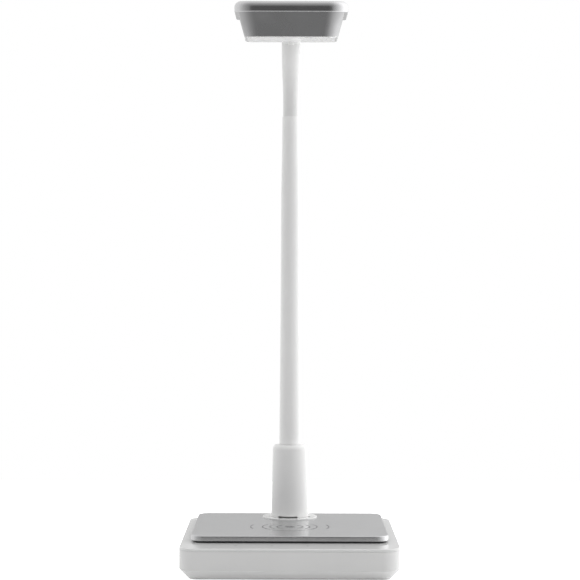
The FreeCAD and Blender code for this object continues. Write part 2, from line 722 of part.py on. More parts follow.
# ---- gooseneck -------------------------------------------------------------------
def bend_pivot(k):
    """Centre of bend joint k, counted from 1 at the stem."""
    y = STEM_Y
    z = STEM_TOP_Z + LINK_L / 2
    for link in range(1, k):
        angle = math.radians(LINK_BEND * link)
        y -= LINK_L * math.sin(angle)
        z += LINK_L * math.cos(angle)
    return V(0, y, z)


def laid(shape, origin, angle):
    """Put a shape drawn along +Z at an origin, leaning forward by an angle."""
    placed = shape.copy()
    placed.rotate(V(0, 0, 0), X_AXIS, angle)
    placed.translate(origin)
    return placed


def hinge_centre():
    angle = math.radians(NECK_BEND)
    reach = LINK_L / 2 + HINGE_OFFSET
    return bend_pivot(BEND_COUNT) + V(0, -reach * math.sin(angle), reach * math.cos(angle))


def ball_end(pivot_z, foot_z):
    """Ball on a neck, its shoulder below it, as one turned solid without its bore."""
    shoulder = pivot_z - SHOULDER_GAP
    ball = Part.makeSphere(BALL_R, V(0, 0, pivot_z))
    neck = cylinder(BALL_NECK_R, shoulder, pivot_z)
    body = cylinder(BEAD_R, foot_z, shoulder)
    return [body, neck, ball]


def cup(z_top):
    """Open socket about the origin for the ball below it, running up to z_top."""
    body = cylinder(BEAD_R, -CUP_DEPTH, z_top)
    return body.cut(Part.makeSphere(BALL_R + RUN_FIT, V(0, 0, 0)))


def neck_socket():
    pivot_z = LINK_L / 2
    plug = cylinder(STEM_TOP_BORE_R - RUN_FIT, -PLUG_L, 0.0)
    solid = joined([plug] + ball_end(pivot_z, 0.0))
    solid = solid.cut(cylinder(BEAD_BORE_R, -PLUG_L - CUT, pivot_z + BALL_R + CUT))
    solid = solid.cut(cylinder(LEAD_HOLE_R, -PLUG_L - CUT, -CUP_DEPTH))
    return laid(solid, V(0, STEM_Y, STEM_TOP_Z), 0)


def neck_bead(k):
    body = joined(ball_end(LINK_L, LINK_L / 2) + [cylinder(BEAD_R, -CUP_DEPTH, LINK_L / 2)])
    body = body.cut(Part.makeSphere(BALL_R + RUN_FIT, V(0, 0, 0)))
    bore = cylinder(BEAD_BORE_R, 0, LINK_L + BALL_R + CUT)
    return laid(body.cut(bore), bend_pivot(k), LINK_BEND * k)


def neck_arc(section_radius, start_angle, sweep):
    """Round bar along the neck's centre line, which is one arc from the stem's top."""
    centre = V(0, STEM_Y - NECK_RADIUS, STEM_TOP_Z)
    angle = math.radians(start_angle)
    at = centre + V(0, NECK_RADIUS * math.cos(angle), NECK_RADIUS * math.sin(angle))
    along = V(0, -math.sin(angle), math.cos(angle))
    disc = Part.Face(Part.Wire(Part.makeCircle(section_radius, at, along)))
    return disc.revolve(centre, X_AXIS, sweep)


def neck_sleeve(k):
    start = LINK_BEND * (k - 1)
    outer = neck_arc(SLEEVE_R, start, LINK_BEND)
    return outer.cut(neck_arc(SLEEVE_R - SLEEVE_WALL, start, LINK_BEND))


def neck_lead():
    return neck_arc(LEAD_R, 0, NECK_BEND)


# ---- tilt hinge ------------------------------------------------------------------
def boot_core(radius):
    """Bar along the hinge's centre line: up the knuckle, then one arc to the bracket."""
    reach = BRACKET_FOOT - MOVE_GAP
    arc_r = reach / math.tan(math.radians(HINGE_TURN / 2))
    disc = Part.Face(Part.Wire(Part.makeCircle(radius, V(0, 0, -reach), Z_AXIS)))
    arc = disc.revolve(V(0, arc_r, -reach), -X_AXIS, HINGE_TURN)
    return joined([cylinder(radius, -HINGE_OFFSET, -reach), arc])


def knuckle():
    """Cup for the last ball, a round block that the boot grips, and a tongue for the pin."""
    foot = -HINGE_OFFSET
    socket = cup(LINK_L / 2)
    socket.translate(V(0, 0, foot - LINK_L / 2))
    block = boot_core(BOOT_R - BOOT_WALL).common(cylinder(BOOT_R, foot, foot + KNUCKLE_H))
    block = block.makeFillet(KNUCKLE_EDGE_R, edges_at(block, foot))
    block = block.cut(cross_cylinder(CHEEK_R + MOVE_GAP, -HINGE_W, HINGE_W))
    web = box(-TONGUE_HALF, TONGUE_HALF, -CHEEK_R, CHEEK_R, foot, 0)
    eye = cross_cylinder(CHEEK_R, -TONGUE_HALF, TONGUE_HALF)
    solid = joined([socket, block, web, eye])
    solid = solid.cut(cross_cylinder(PIN_R + RUN_FIT, -HINGE_W, HINGE_W))
    solid = solid.cut(cylinder(BEAD_BORE_R, foot - LINK_L / 2, -PIN_R - KNUCKLE_FLOOR))
    return laid(solid, hinge_centre(), NECK_BEND)


def boot_room():
    """Space inside the boot, seen from the head, that the cheeks and the pin's ends keep to."""
    radius = BOOT_R - BOOT_WALL - MOVE_GAP
    room = laid(boot_core(radius), V(0, 0, 0), HINGE_TURN)
    return joined([room, cylinder(radius, BRACKET_FOOT - MOVE_GAP, BRACKET_FOOT)])


def in_head(shape):
    return laid(shape, hinge_centre(), HEAD_DROOP)


def bracket_screw_places():
    reach = BRACKET_L / 2 - SCREW_HEAD_R - SEAT_FIT
    return [(0, -reach), (0, reach)]


def head_bracket():
    half = BRACKET_L / 2
    foot = prism(rectangle(-BOOT_R, BOOT_R, -half, half), BRACKET_END_R, BRACKET_FOOT,
                 DIFFUSER_FOOT)
    outer = HINGE_W / 2
    inner = outer - CHEEK_T
    cheeks = joined([cross_cylinder(CHEEK_R, -outer, outer),
                     box(-outer, outer, -CHEEK_NECK, CHEEK_NECK, 0, BRACKET_FOOT)])
    solid = joined([foot, cheeks.common(boot_room())])
    solid = solid.cut(box(-inner, inner, -half, half, -CHEEK_R, BRACKET_FOOT))
    cuts = [cross_cylinder(PIN_R + RUN_FIT, -HINGE_W, HINGE_W),
            cross_cylinder(PIN_HEAD_R + SEAT_FIT, outer - PIN_HEAD_T, outer + CUT),
            cross_cylinder(PIN_HEAD_R + SEAT_FIT, -outer - CUT, -outer + PIN_HEAD_T)]
    for x, y in bracket_screw_places():
        cuts.append(cylinder(SCREW_R + SEAT_FIT, BRACKET_FOOT - CUT, DIFFUSER_FOOT + CUT, x, y))
    return in_head(solid.cut(cuts))


def bracket_screws():
    head = BRACKET_FOOT - SCREW_HEAD_T
    return in_head(group([screw(head, SCREW_L, x, y) for x, y in bracket_screw_places()]))


def hinge_pin():
    outer = HINGE_W / 2
    shank = cross_cylinder(PIN_R, -outer + PIN_HEAD_T, outer)
    head = cross_cylinder(PIN_HEAD_R, -outer, -outer + PIN_HEAD_T)
    return in_head(joined([shank, head]).common(boot_room()))


def hinge_nut():
    outer = HINGE_W / 2
    nut = cross_cylinder(PIN_HEAD_R, outer - PIN_HEAD_T, outer).common(boot_room())
    return in_head(nut.cut(cross_cylinder(PIN_R + RUN_FIT, 0, HINGE_W)))


def pivot_washers():
    inner = HINGE_W / 2 - CHEEK_T
    washers = []
    for x0 in (-inner, inner - PIVOT_WASHER_T):
        disc = cross_cylinder(PIVOT_WASHER_R, x0, x0 + PIVOT_WASHER_T)
        washers.append(disc.cut(cross_cylinder(PIN_R + RUN_FIT, -HINGE_W, HINGE_W)))
    return in_head(group(washers))


def hinge_boot():
    boot = boot_core(BOOT_R).cut(boot_core(BOOT_R - BOOT_WALL))
    return laid(boot, hinge_centre(), NECK_BEND)


# ---- head ------------------------------------------------------------------------
def head_half_width(y):
    """Half the cover's width at a place along the head, measured from the hinge pin."""
    share = (y + HEAD_REACH) / (HEAD_REACH + HEAD_BACK)
    return (HEAD_FRONT_W + (HEAD_REAR_W - HEAD_FRONT_W) * share) / 2


def head_outline(inset, rear=None):
    """Tapered plan of the head, stepped in by an inset all round."""
    front = -HEAD_REACH + inset
    back = HEAD_BACK - inset if rear is None else rear
    front_half = head_half_width(front) - inset
    back_half = head_half_width(back) - inset
    return ((-front_half, front), (front_half, front), (back_half, back), (-back_half, back))


def body_inset(z):
    """How far the body's wall stands in from the cover's edge at a height."""
    return COVER_LIP + BODY_DRAFT * (BODY_TOP - z) / BODY_H


def drafted(z0, z1, extra):
    """Tapered solid parallel to the body's wall, set in by an extra amount."""
    rings = []
    for z in (z0, z1):
        inset = body_inset(z) + extra
        rings.append(rounded_outline(head_outline(inset), HEAD_R - inset / 2, z))
    return Part.makeLoft(rings, True, True)


def led_post_places():
    inset = body_inset(BODY_FLOOR_TOP) + BODY_WALL + LED_POST_R + SEAT_FIT
    front = -HEAD_REACH + inset + HEAD_R / 2
    back = -WINDOW_BACK - LED_POST_R
    places = []
    for y in (front, (front + back) / 2, back):
        half = head_half_width(y) - inset
        places += [(-half, y), (half, y)]
    return places


def cover_screw_places():
    head_z = BODY_TOP - EAR_T - SCREW_HEAD_T
    inset = body_inset(head_z) + BODY_WALL + SCREW_HEAD_R + SEAT_FIT
    front = -HEAD_REACH + inset + HEAD_R
    back = HEAD_BACK - inset - HEAD_R
    places = []
    for y in (front, back):
        half = head_half_width(y) - inset
        places += [(-half, y), (half, y)]
    return places


def head_body():
    shell = drafted(BODY_FOOT, BODY_TOP, 0.0)
    shell = shell.cut(drafted(BODY_FLOOR_TOP, BODY_TOP + CUT, BODY_WALL))
    seat = body_inset(BODY_FOOT) + DIFFUSER_LIP
    shell = shell.cut(prism(head_outline(seat), HEAD_R - seat / 2, BODY_FOOT - CUT, BODY_FLOOR))
    opening = body_inset(BODY_FOOT) + WINDOW_LEDGE
    window = prism(head_outline(opening, -WINDOW_BACK), HEAD_R - opening / 2,
                   BODY_FLOOR - CUT, BODY_FLOOR_TOP + CUT)
    shell = shell.cut(window)
    extras = [cylinder(LED_POST_R, BODY_FLOOR_TOP, LED_BOARD_Z, x, y)
              for x, y in led_post_places()]
    tab = POST_R
    boss_top = BODY_FLOOR_TOP + SCREW_L / 2
    extras += [cylinder(POST_R, BODY_FLOOR_TOP, boss_top, x, y) for x, y in bracket_screw_places()]
    wall = drafted(BODY_FOOT, BODY_TOP, BODY_WALL / 2)
    for x, y in cover_screw_places():
        reach = math.copysign(2 * tab, x)
        ear = box(min(x, x + reach), max(x, x + reach), y - tab, y + tab,
                  BODY_TOP - EAR_T, BODY_TOP)
        round_ = cylinder(tab, BODY_TOP - EAR_T, BODY_TOP, x, y)
        extras.append(joined([ear, round_]).common(wall))
    shell = joined([shell] + extras)
    holes = [cylinder(SCREW_R, BODY_FLOOR - CUT, boss_top + CUT, x, y)
             for x, y in bracket_screw_places()]
    holes += [cylinder(SCREW_R + SEAT_FIT, BODY_TOP - EAR_T - CUT, BODY_TOP + CUT, x, y)
              for x, y in cover_screw_places()]
    return in_head(shell.cut(holes))


def head_cover():
    top = BODY_TOP + COVER_T
    slab = prism(head_outline(0.0), HEAD_R, BODY_TOP, top)
    slab = slab.makeFillet(COVER_EDGE_R, edges_at(slab, top))
    slab = slab.makeFillet(COVER_FOOT_R, edges_at(slab, BODY_TOP))
    rim = COVER_EDGE_R + COVER_SKIN
    pocket = prism(head_outline(rim), HEAD_R - rim / 2, BODY_TOP - CUT, top - COVER_SKIN)
    bosses = [cylinder(POST_R, BODY_TOP - 2 * CUT, top, x, y) for x, y in cover_screw_places()]
    slab = slab.cut(pocket.cut(bosses))
    holes = [cylinder(SCREW_R, BODY_TOP - CUT, BODY_TOP + COVER_T - COVER_SKIN, x, y)
             for x, y in cover_screw_places()]
    return in_head(slab.cut(holes))


def cover_screws():
    head = BODY_TOP - EAR_T - SCREW_HEAD_T
    length = EAR_T + COVER_T - COVER_SKIN - SCREW_TIP_GAP
    return in_head(group([screw(head, length, x, y) for x, y in cover_screw_places()]))


def diffuser():
    inset = body_inset(BODY_FOOT) + DIFFUSER_LIP + SEAT_FIT
    panel = prism(head_outline(inset), HEAD_R - inset / 2, DIFFUSER_FOOT, BODY_FLOOR)
    panel = panel.makeFillet(DIFFUSER_PROUD / 2, edges_at(panel, DIFFUSER_FOOT))
    holes = [cylinder(SCREW_R + SEAT_FIT, DIFFUSER_FOOT - CUT, BODY_FLOOR + CUT, x, y)
             for x, y in bracket_screw_places()]
    return in_head(panel.cut(holes))


def led_board_outline():
    """Board over the posts: its corners reach just past each post."""
    inset = body_inset(BODY_FLOOR_TOP) + BODY_WALL + SEAT_FIT
    return head_outline(inset, -WINDOW_BACK)


def led_board():
    return in_head(prism(led_board_outline(), HEAD_R / 2, LED_BOARD_Z, LED_BOARD_Z + LED_BOARD_T))


def heat_spreader():
    z0 = LED_BOARD_Z + LED_BOARD_T
    return in_head(prism(led_board_outline(), HEAD_R / 2, z0, z0 + SPREADER_T))


def leds():
    inset = body_inset(BODY_FLOOR_TOP) + WINDOW_LEDGE + LED_SIZE
    front = -HEAD_REACH + inset + LED_SIZE
    back = -WINDOW_BACK - 2 * LED_SIZE
    chips = []
    for column in range(LED_COLUMNS):
        y = front + (back - front) * column / (LED_COLUMNS - 1)
        for row in range(LED_ROWS):
            x = (head_half_width(y) - inset) * (row - (LED_ROWS - 1) / 2)
            chips.append(box(x - LED_SIZE / 2, x + LED_SIZE / 2, y - LED_SIZE / 2,
                             y + LED_SIZE / 2, LED_BOARD_Z - LED_T, LED_BOARD_Z))
    return in_head(group(chips))


# ---- every node and the function that makes it -----------------------------------
NODES = {
    "base_housing": base_housing,
    "floor_plate": floor_plate,
    "floor_screws": floor_screws,
    "rest_pad": rest_pad,
    "weight_blocks": weight_blocks,
    "board_spacers": board_spacers,
    "main_board": main_board,
    "power_inlet": power_inlet,
    "touch_board": touch_board,
    "key_marks": key_marks,
    "runner_left": lambda: runner(-1),
    "runner_right": lambda: runner(1),
    "drawer_tray": tray,
    "drawer_front": drawer_front,
    "drawer_screws": drawer_screws,
    "drawer_mat": drawer_mat,
    "plate_carrier": plate_carrier,
    "charging_plate": charging_plate,
    "charger_board": charger_board,
    "ferrite_disc": ferrite_disc,
    "charging_coil": charging_coil,
    "foot_ring": foot_ring,
    "swivel_socket": swivel_socket,
    "socket_screws": socket_screws,
    "thrust_washer": thrust_washer,
    "friction_washer": friction_washer,
    "swivel_nut": swivel_nut,
    "swivel_spindle": swivel_spindle,
    "collar": collar,
    "stem": stem,
    "arm_lead": arm_lead,
    "neck_socket": neck_socket,
    "neck_lead": neck_lead,
    "knuckle": knuckle,
    "head_bracket": head_bracket,
    "bracket_screws": bracket_screws,
    "hinge_pin": hinge_pin,
    "hinge_nut": hinge_nut,
    "pivot_washers": pivot_washers,
    "hinge_boot": hinge_boot,
    "head_body": head_body,
    "head_cover": head_cover,
    "cover_screws": cover_screws,
    "diffuser": diffuser,
    "led_board": led_board,
    "heat_spreader": heat_spreader,
    "leds": leds,
}
for k in range(1, BEND_COUNT):
    NODES[f"neck_bead_{k}"] = lambda k=k: neck_bead(k)
for k in range(1, BEND_COUNT + 1):
    NODES[f"neck_sleeve_{k}"] = lambda k=k: neck_sleeve(k)


def main():
    os.makedirs("parts", exist_ok=True)
    for name, make in NODES.items():
        shape = make()
        shape.exportStep(os.path.join("parts", name + ".step"))
        print(f"{name}: {len(shape.Solids)} solid(s), {shape.Volume / 1000:.2f} cm3,"
              f" valid {shape.isValid()}")
    for k in range(1, BEND_COUNT + 1):
        pivot = bend_pivot(k)
        print(f"bend {k}: y {pivot.y:.3f} z {pivot.z:.3f} angle {LINK_BEND * (k - 0.5):.2f}")
    centre = hinge_centre()
    print(f"hinge: y {centre.y:.3f} z {centre.z:.3f}")


main()
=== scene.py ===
"""Desk lamp with a charging plate and a drawer in its base: looks, light and camera.

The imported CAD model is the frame. Most of its nodes show as they are, with procedural
materials. The gooseneck's sleeve and inner lead and the hinge's boot are modelled here and
bend between the frame's bodies. The printed marks, the drawer's lip and the diffuser's edge
are modelled here too, and ride on those bodies.
"""
import json
import math

import bmesh
import bpy
from mathutils import Euler, Matrix, Vector


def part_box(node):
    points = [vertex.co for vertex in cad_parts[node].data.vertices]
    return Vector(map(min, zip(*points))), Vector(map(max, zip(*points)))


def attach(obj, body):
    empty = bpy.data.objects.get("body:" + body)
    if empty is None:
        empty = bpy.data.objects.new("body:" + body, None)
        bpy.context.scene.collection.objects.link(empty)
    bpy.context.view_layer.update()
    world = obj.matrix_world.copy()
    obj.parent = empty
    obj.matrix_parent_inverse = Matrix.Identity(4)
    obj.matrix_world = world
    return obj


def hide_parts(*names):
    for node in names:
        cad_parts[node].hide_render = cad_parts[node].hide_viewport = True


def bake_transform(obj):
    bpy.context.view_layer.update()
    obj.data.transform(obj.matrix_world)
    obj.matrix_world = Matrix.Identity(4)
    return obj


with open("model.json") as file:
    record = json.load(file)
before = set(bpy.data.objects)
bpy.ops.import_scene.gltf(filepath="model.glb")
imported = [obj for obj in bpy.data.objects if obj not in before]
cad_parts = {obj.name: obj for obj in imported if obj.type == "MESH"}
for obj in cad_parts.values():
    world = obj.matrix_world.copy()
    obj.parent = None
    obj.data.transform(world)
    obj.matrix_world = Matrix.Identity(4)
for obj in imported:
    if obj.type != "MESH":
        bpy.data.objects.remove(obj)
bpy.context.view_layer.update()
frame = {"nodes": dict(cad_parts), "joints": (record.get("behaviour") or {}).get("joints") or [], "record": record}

MM = 0.001
WELD = 1e-6                      # metres; mesh points closer than this become one
WHITE = (1, 1, 1, 1)


# ---- camera ----------------------------------------------------------------------
FRAME_PX = 580
FOCAL_PX = 1800          # focal length in pixels of that frame
HORIZON_PX = 272         # height of the eye's level in that frame
SENSOR = 36.0            # mm across
CAMERA_AT = Vector((-0.0004, -1.5421, 0.2497))
CAMERA_ROLL = math.radians(0.17)      # the picture leans a little to the right
CAMERA_REACH = 50        # metres that the camera can see

# ---- sizes read from the frame ---------------------------------------------------
PLATE_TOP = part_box("charging_plate")[1].z
COIL_LOW, COIL_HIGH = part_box("charging_coil")
MARK_CENTRE = Vector(((COIL_LOW.x + COIL_HIGH.x) / 2, (COIL_LOW.y + COIL_HIGH.y) / 2,
                      PLATE_TOP))


# ---- node helpers ----------------------------------------------------------------
class Finish:
    """One material under construction: its tree, its shader and a few shortcuts."""

    def __init__(self, name, colour, roughness, metallic=0.0):
        self.material = bpy.data.materials.new(name)
        self.material.use_nodes = True
        self.tree = self.material.node_tree
        self.shader = self.tree.nodes["Principled BSDF"]
        self.shader.inputs["Base Color"].default_value = (*colour, 1.0)
        self.shader.inputs["Roughness"].default_value = roughness
        self.shader.inputs["Metallic"].default_value = metallic
        self.colour = colour
        self.relief = None
        self.place = self.tree.nodes.new("ShaderNodeTexCoord").outputs["Object"]

    def node(self, kind, **settings):
        made = self.tree.nodes.new(kind)
        for key, value in settings.items():
            setattr(made, key, value)
        return made

    def link(self, source, target):
        self.tree.links.new(source, target)

    def noise(self, scale, detail=2.0, stretch=None):
        """Noise in the row frame; scale is in features per metre."""
        made = self.node("ShaderNodeTexNoise")
        made.inputs["Scale"].default_value = scale
        made.inputs["Detail"].default_value = detail
        place = self.place
        if stretch is not None:
            mapping = self.node("ShaderNodeMapping")
            mapping.inputs["Scale"].default_value = stretch
            self.link(place, mapping.inputs["Vector"])
            place = mapping.outputs["Vector"]
        self.link(place, made.inputs["Vector"])
        return made.outputs["Fac"]

    def spread(self, source, low, high, start=0.3, end=0.7):
        """A value that runs from low to high as source runs from start to end."""
        made = self.node("ShaderNodeMapRange")
        made.inputs["From Min"].default_value = start
        made.inputs["From Max"].default_value = end
        made.inputs["To Min"].default_value = low
        made.inputs["To Max"].default_value = high
        self.link(source, made.inputs["Value"])
        return made.outputs["Result"]

    def tint(self, source, low, high, start=0.3, end=0.7):
        """Base colour that runs between two shades as source runs from start to end."""
        ramp = self.node("ShaderNodeValToRGB")
        ramp.color_ramp.elements[0].position = start
        ramp.color_ramp.elements[0].color = (*low, 1.0)
        ramp.color_ramp.elements[1].position = end
        ramp.color_ramp.elements[1].color = (*high, 1.0)
        self.link(source, ramp.inputs["Fac"])
        self.link(ramp.outputs["Color"], self.shader.inputs["Base Color"])

    def mottle(self, source, amount):
        """Small even variation of the base colour about its own shade."""
        low = tuple(c * (1 - amount) for c in self.colour)
        high = tuple(min(c * (1 + amount), 1.0) for c in self.colour)
        self.tint(source, low, high)

    def rough(self, source, low, high):
        """Roughness that runs from low to high with source."""
        self.link(self.spread(source, low, high), self.shader.inputs["Roughness"])

    def bump(self, source, strength, depth):
        """A layer of relief, depth in metres; layers stack in the order they are added."""
        made = self.node("ShaderNodeBump")
        made.inputs["Strength"].default_value = strength
        made.inputs["Distance"].default_value = depth
        self.link(source, made.inputs["Height"])
        if self.relief is not None:
            self.link(self.relief, made.inputs["Normal"])
        self.relief = made.outputs["Normal"]
        self.link(self.relief, self.shader.inputs["Normal"])

    def set(self, **values):
        """Constant values on the shader's own sockets, named with _ for each space."""
        for key, value in values.items():
            self.shader.inputs[key.replace("_", " ")].default_value = value
        return self


# ---- finishes --------------------------------------------------------------------
# One white plastic, given a different shade on each part. Each shade is fitted to how bright that part looks under
# the light. The base and drawer shade is darker, as painted shade; the ring, sleeve, arm and hinge shades are
# lighter, as painted light.
WHITE_BASE_SHADED = 0.8
WHITE_RING_LIT = 0.88
WHITE_SLEEVE_LIT = 0.84
WHITE_ARM_LIT = 0.94
WARM = 0.995             # blue of the white plastics, as a share of their red
COOL = 1.01              # the same for the silver coats


def neutral(shade, blue):
    """A grey or white whose blue is that share of its red and green."""
    return (shade, shade, shade * blue)


def gloss_white(name, shade):
    """Polished white moulding: nearly smooth, with the faint waviness of a thin wall."""
    made = Finish(name, neutral(shade, WARM), 0.16)
    made.mottle(made.noise(35, 3), 0.008)
    made.rough(made.noise(160, 4), 0.06, 0.11)
    made.bump(made.noise(60, 1), 0.06, 0.0004)
    made.bump(made.noise(1500, 2), 0.02, 0.0001)
    return made.set(Specular_IOR_Level=0.5).material


def satin_white(name, shade):
    """Satin white coat over a smooth tube, with a very fine orange peel."""
    made = Finish(name, neutral(shade, WARM), 0.36)
    made.mottle(made.noise(40, 3), 0.008)
    made.rough(made.noise(220, 4), 0.335, 0.42)
    made.bump(made.noise(1300, 2), 0.03, 0.0001)
    return made.material


def satin_silver(name, shade, low, high):
    """Fine silver paint or bead-blasted aluminium; roughness runs from low to high."""
    grain = 2600
    made = Finish(name, neutral(shade, COOL), (low + high) / 2, 1.0)
    made.mottle(made.noise(grain, 2), 0.05)
    made.rough(made.noise(45, 5), low, high)
    made.bump(made.noise(grain, 3), 0.05, 0.0002)
    return made.material


def plain_metal(name, shade, roughness, brushed=None):
    """Plated or turned steel; brushed gives the stretch of its fine scratches."""
    made = Finish(name, shade, roughness, 1.0)
    lines = made.noise(900, 4, brushed or (1.0, 1.0, 1.0))
    made.mottle(lines, 0.07)
    made.rough(lines, roughness * 0.8, roughness * 1.25)
    made.bump(lines, 0.12, 0.0002)
    return made.material


def moulded(name, colour, roughness, grain=1200, depth=0.06):
    """Spark-eroded moulded plastic: fine matt texture."""
    made = Finish(name, colour, roughness)
    made.mottle(made.noise(60, 4), 0.04)
    made.rough(made.noise(300, 4), roughness * 0.88, min(roughness * 1.12, 1.0))
    made.bump(made.noise(grain, 3), depth, 0.0003)
    return made.material


def silicone(name, shade):
    """Soft satin sleeve with a dusty sheen and a very faint grip texture."""
    made = Finish(name, neutral(shade, WARM), 0.36)
    made.mottle(made.noise(90, 4), 0.015)
    made.rough(made.noise(700, 3), 0.31, 0.42)
    made.bump(made.noise(1800, 2), 0.05, 0.0002)
    return made.set(Sheen_Weight=0.15, Sheen_Roughness=0.4).material


def rubber(name, colour):
    """Matt black rubber with a dry, uneven skin."""
    made = Finish(name, colour, 0.8)
    made.mottle(made.noise(500, 4), 0.25)
    made.bump(made.noise(2200, 4), 0.35, 0.0004)
    return made.set(Sheen_Weight=0.2).material


def felt(name, colour):
    """Pressed felt: matted fibres in two sizes over a soft nap."""
    made = Finish(name, colour, 0.95)
    fibres = made.noise(2600, 6, (1.0, 0.35, 1.0))
    made.tint(fibres, tuple(c * 0.62 for c in colour), tuple(c * 1.35 for c in colour))
    made.bump(made.noise(900, 4), 0.5, 0.0006)
    made.bump(fibres, 0.6, 0.0005)
    return made.set(Sheen_Weight=0.5, Sheen_Roughness=0.5).material


def opal(name):
    """Opal diffuser: smooth, milky, with light scattered under its skin."""
    made = Finish(name, (0.93, 0.93, 0.92), 0.2)
    made.mottle(made.noise(25, 2), 0.006)
    made.rough(made.noise(400, 3), 0.17, 0.26)
    made.bump(made.noise(1400, 2), 0.03, 0.0002)
    made.set(Subsurface_Weight=0.35, Subsurface_Scale=0.004)
    made.shader.inputs["Subsurface Radius"].default_value = (1.0, 1.0, 0.9)
    return made.material


def board(name):
    """Circuit board: solder mask over faint tracks, with the glass weave beneath."""
    mask = (0.012, 0.09, 0.045)
    made = Finish(name, mask, 0.35)
    tracks = made.node("ShaderNodeTexBrick")
    tracks.inputs["Scale"].default_value = 260
    tracks.inputs["Mortar Size"].default_value = 0.09
    tracks.inputs["Color1"].default_value = (*mask, 1)
    tracks.inputs["Color2"].default_value = (0.016, 0.12, 0.06, 1)
    tracks.inputs["Mortar"].default_value = (0.03, 0.2, 0.1, 1)
    made.link(made.place, tracks.inputs["Vector"])
    made.link(tracks.outputs["Color"], made.shader.inputs["Base Color"])
    made.bump(tracks.outputs["Fac"], 0.3, 0.0001)
    return made.set(Coat_Weight=0.4).material


def winding(name, centre):
    """Enamelled copper wire laid in rings round the coil's centre."""
    made = Finish(name, (0.72, 0.33, 0.14), 0.28, 1.0)
    shift = made.node("ShaderNodeVectorMath", operation="SUBTRACT")
    shift.inputs[1].default_value = centre
    made.link(made.place, shift.inputs[0])
    rings = made.node("ShaderNodeTexWave", wave_type="RINGS", rings_direction="Z")
    rings.inputs["Scale"].default_value = 400
    rings.inputs["Distortion"].default_value = 0.0
    made.link(shift.outputs["Vector"], rings.inputs["Vector"])
    made.tint(rings.outputs["Fac"], (0.35, 0.12, 0.04), (0.8, 0.4, 0.18), 0.1, 0.7)
    made.bump(rings.outputs["Fac"], 0.8, 0.0005)
    return made.set(Coat_Weight=0.5).material


def phosphor(name):
    """Yellow phosphor over the LED chips."""
    made = Finish(name, (0.9, 0.72, 0.2), 0.45)
    made.mottle(made.noise(3000, 4), 0.12)
    made.bump(made.noise(2500, 2), 0.1, 0.0002)
    return made.material


FINISHES = {
    # The white finishes below use the shades above, which hold painted shade (base, drawer) and painted light
    # (ring, arm, hinge, sleeve).
    "base_plastic": gloss_white("gloss_white_base", WHITE_BASE_SHADED),
    "drawer_plastic": gloss_white("gloss_white_drawer", WHITE_BASE_SHADED),
    "ring_plastic": gloss_white("gloss_white_ring", WHITE_RING_LIT),
    "silver_paint": satin_silver("silver_plate", 0.57, 0.2, 0.27),
    "stem_plastic": satin_white("satin_white_arm", WHITE_ARM_LIT),
    "hinge_metal": satin_white("satin_white_hinge", WHITE_ARM_LIT),
    "head_plastic": satin_silver("silver_head_body", 0.36, 0.14, 0.46),
    "head_metal": satin_silver("silver_head_cover", 0.56, 0.18, 0.25),
    "sleeve_rubber": silicone("white_silicone", WHITE_SLEEVE_LIT),
    "steel_plate": plain_metal("zinc_plate", (0.5, 0.5, 0.52), 0.42),
    "zinc_screws": plain_metal("zinc_screw", (0.6, 0.6, 0.61), 0.3, (4.0, 4.0, 1.0)),
    "inlet_metal": plain_metal("nickel_shell", (0.62, 0.61, 0.58), 0.24, (1.0, 0.2, 1.0)),
    "swivel_metal": plain_metal("turned_alloy", (0.6, 0.6, 0.61), 0.3, (0.2, 0.2, 3.0)),
    "spreader_metal": plain_metal("rolled_alloy", (0.72, 0.72, 0.73), 0.33, (1.0, 0.1, 1.0)),
    "rubber": rubber("black_rubber", (0.03, 0.03, 0.032)),
    "lead_jacket": rubber("lead_jacket", (0.05, 0.05, 0.05)),
    "circuit_board": board("circuit_board"),
    "key_print": moulded("key_print", (0.16, 0.16, 0.165), 0.4),
    "runner_plastic": moulded("acetal_runner", (0.1, 0.1, 0.105), 0.5),
    "tray_plastic": moulded("tray_white", (0.78, 0.78, 0.775), 0.42),
    "carrier_plastic": moulded("carrier_black", (0.025, 0.025, 0.027), 0.45),
    "washer_plastic": moulded("washer_white", (0.8, 0.8, 0.77), 0.45),
    "bead_plastic": moulded("bead_grey", (0.09, 0.09, 0.095), 0.42),
    "felt": felt("grey_felt", (0.16, 0.16, 0.17)),
    "ferrite": moulded("ferrite_grey", (0.05, 0.05, 0.055), 0.6, 900, 0.2),
    "copper": winding("copper_winding", MARK_CENTRE),
    "diffuser": opal("opal_diffuser"),
    "led_chip": phosphor("phosphor"),
}


PAINTED = {"bracket_screws": "hinge_metal"}      # node: slot of what it is painted with


def dress_nodes():
    """Every carried CAD node takes the finish of its slot, or the finish that PAINTED gives it."""
    for part in frame["record"]["subparts"]:
        shown = frame["nodes"][part["node"]]
        finish = FINISHES[PAINTED.get(part["node"], part["material_slot"])]
        shown.data.materials.clear()
        shown.data.materials.append(finish)
        for face in shown.data.polygons:
            face.material_index = 0


def piece(name, bm, slot, body, smooth=True):
    """A mesh piece from a bmesh, with its slot's finish, riding on a body."""
    mesh = bpy.data.meshes.new(name)
    bm.to_mesh(mesh)
    bm.free()
    made = bpy.data.objects.new(name, mesh)
    bpy.context.scene.collection.objects.link(made)
    mesh.materials.append(FINISHES[slot])
    for face in mesh.polygons:
        face.use_smooth = smooth
    if body is not None:
        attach(made, body)
    return made


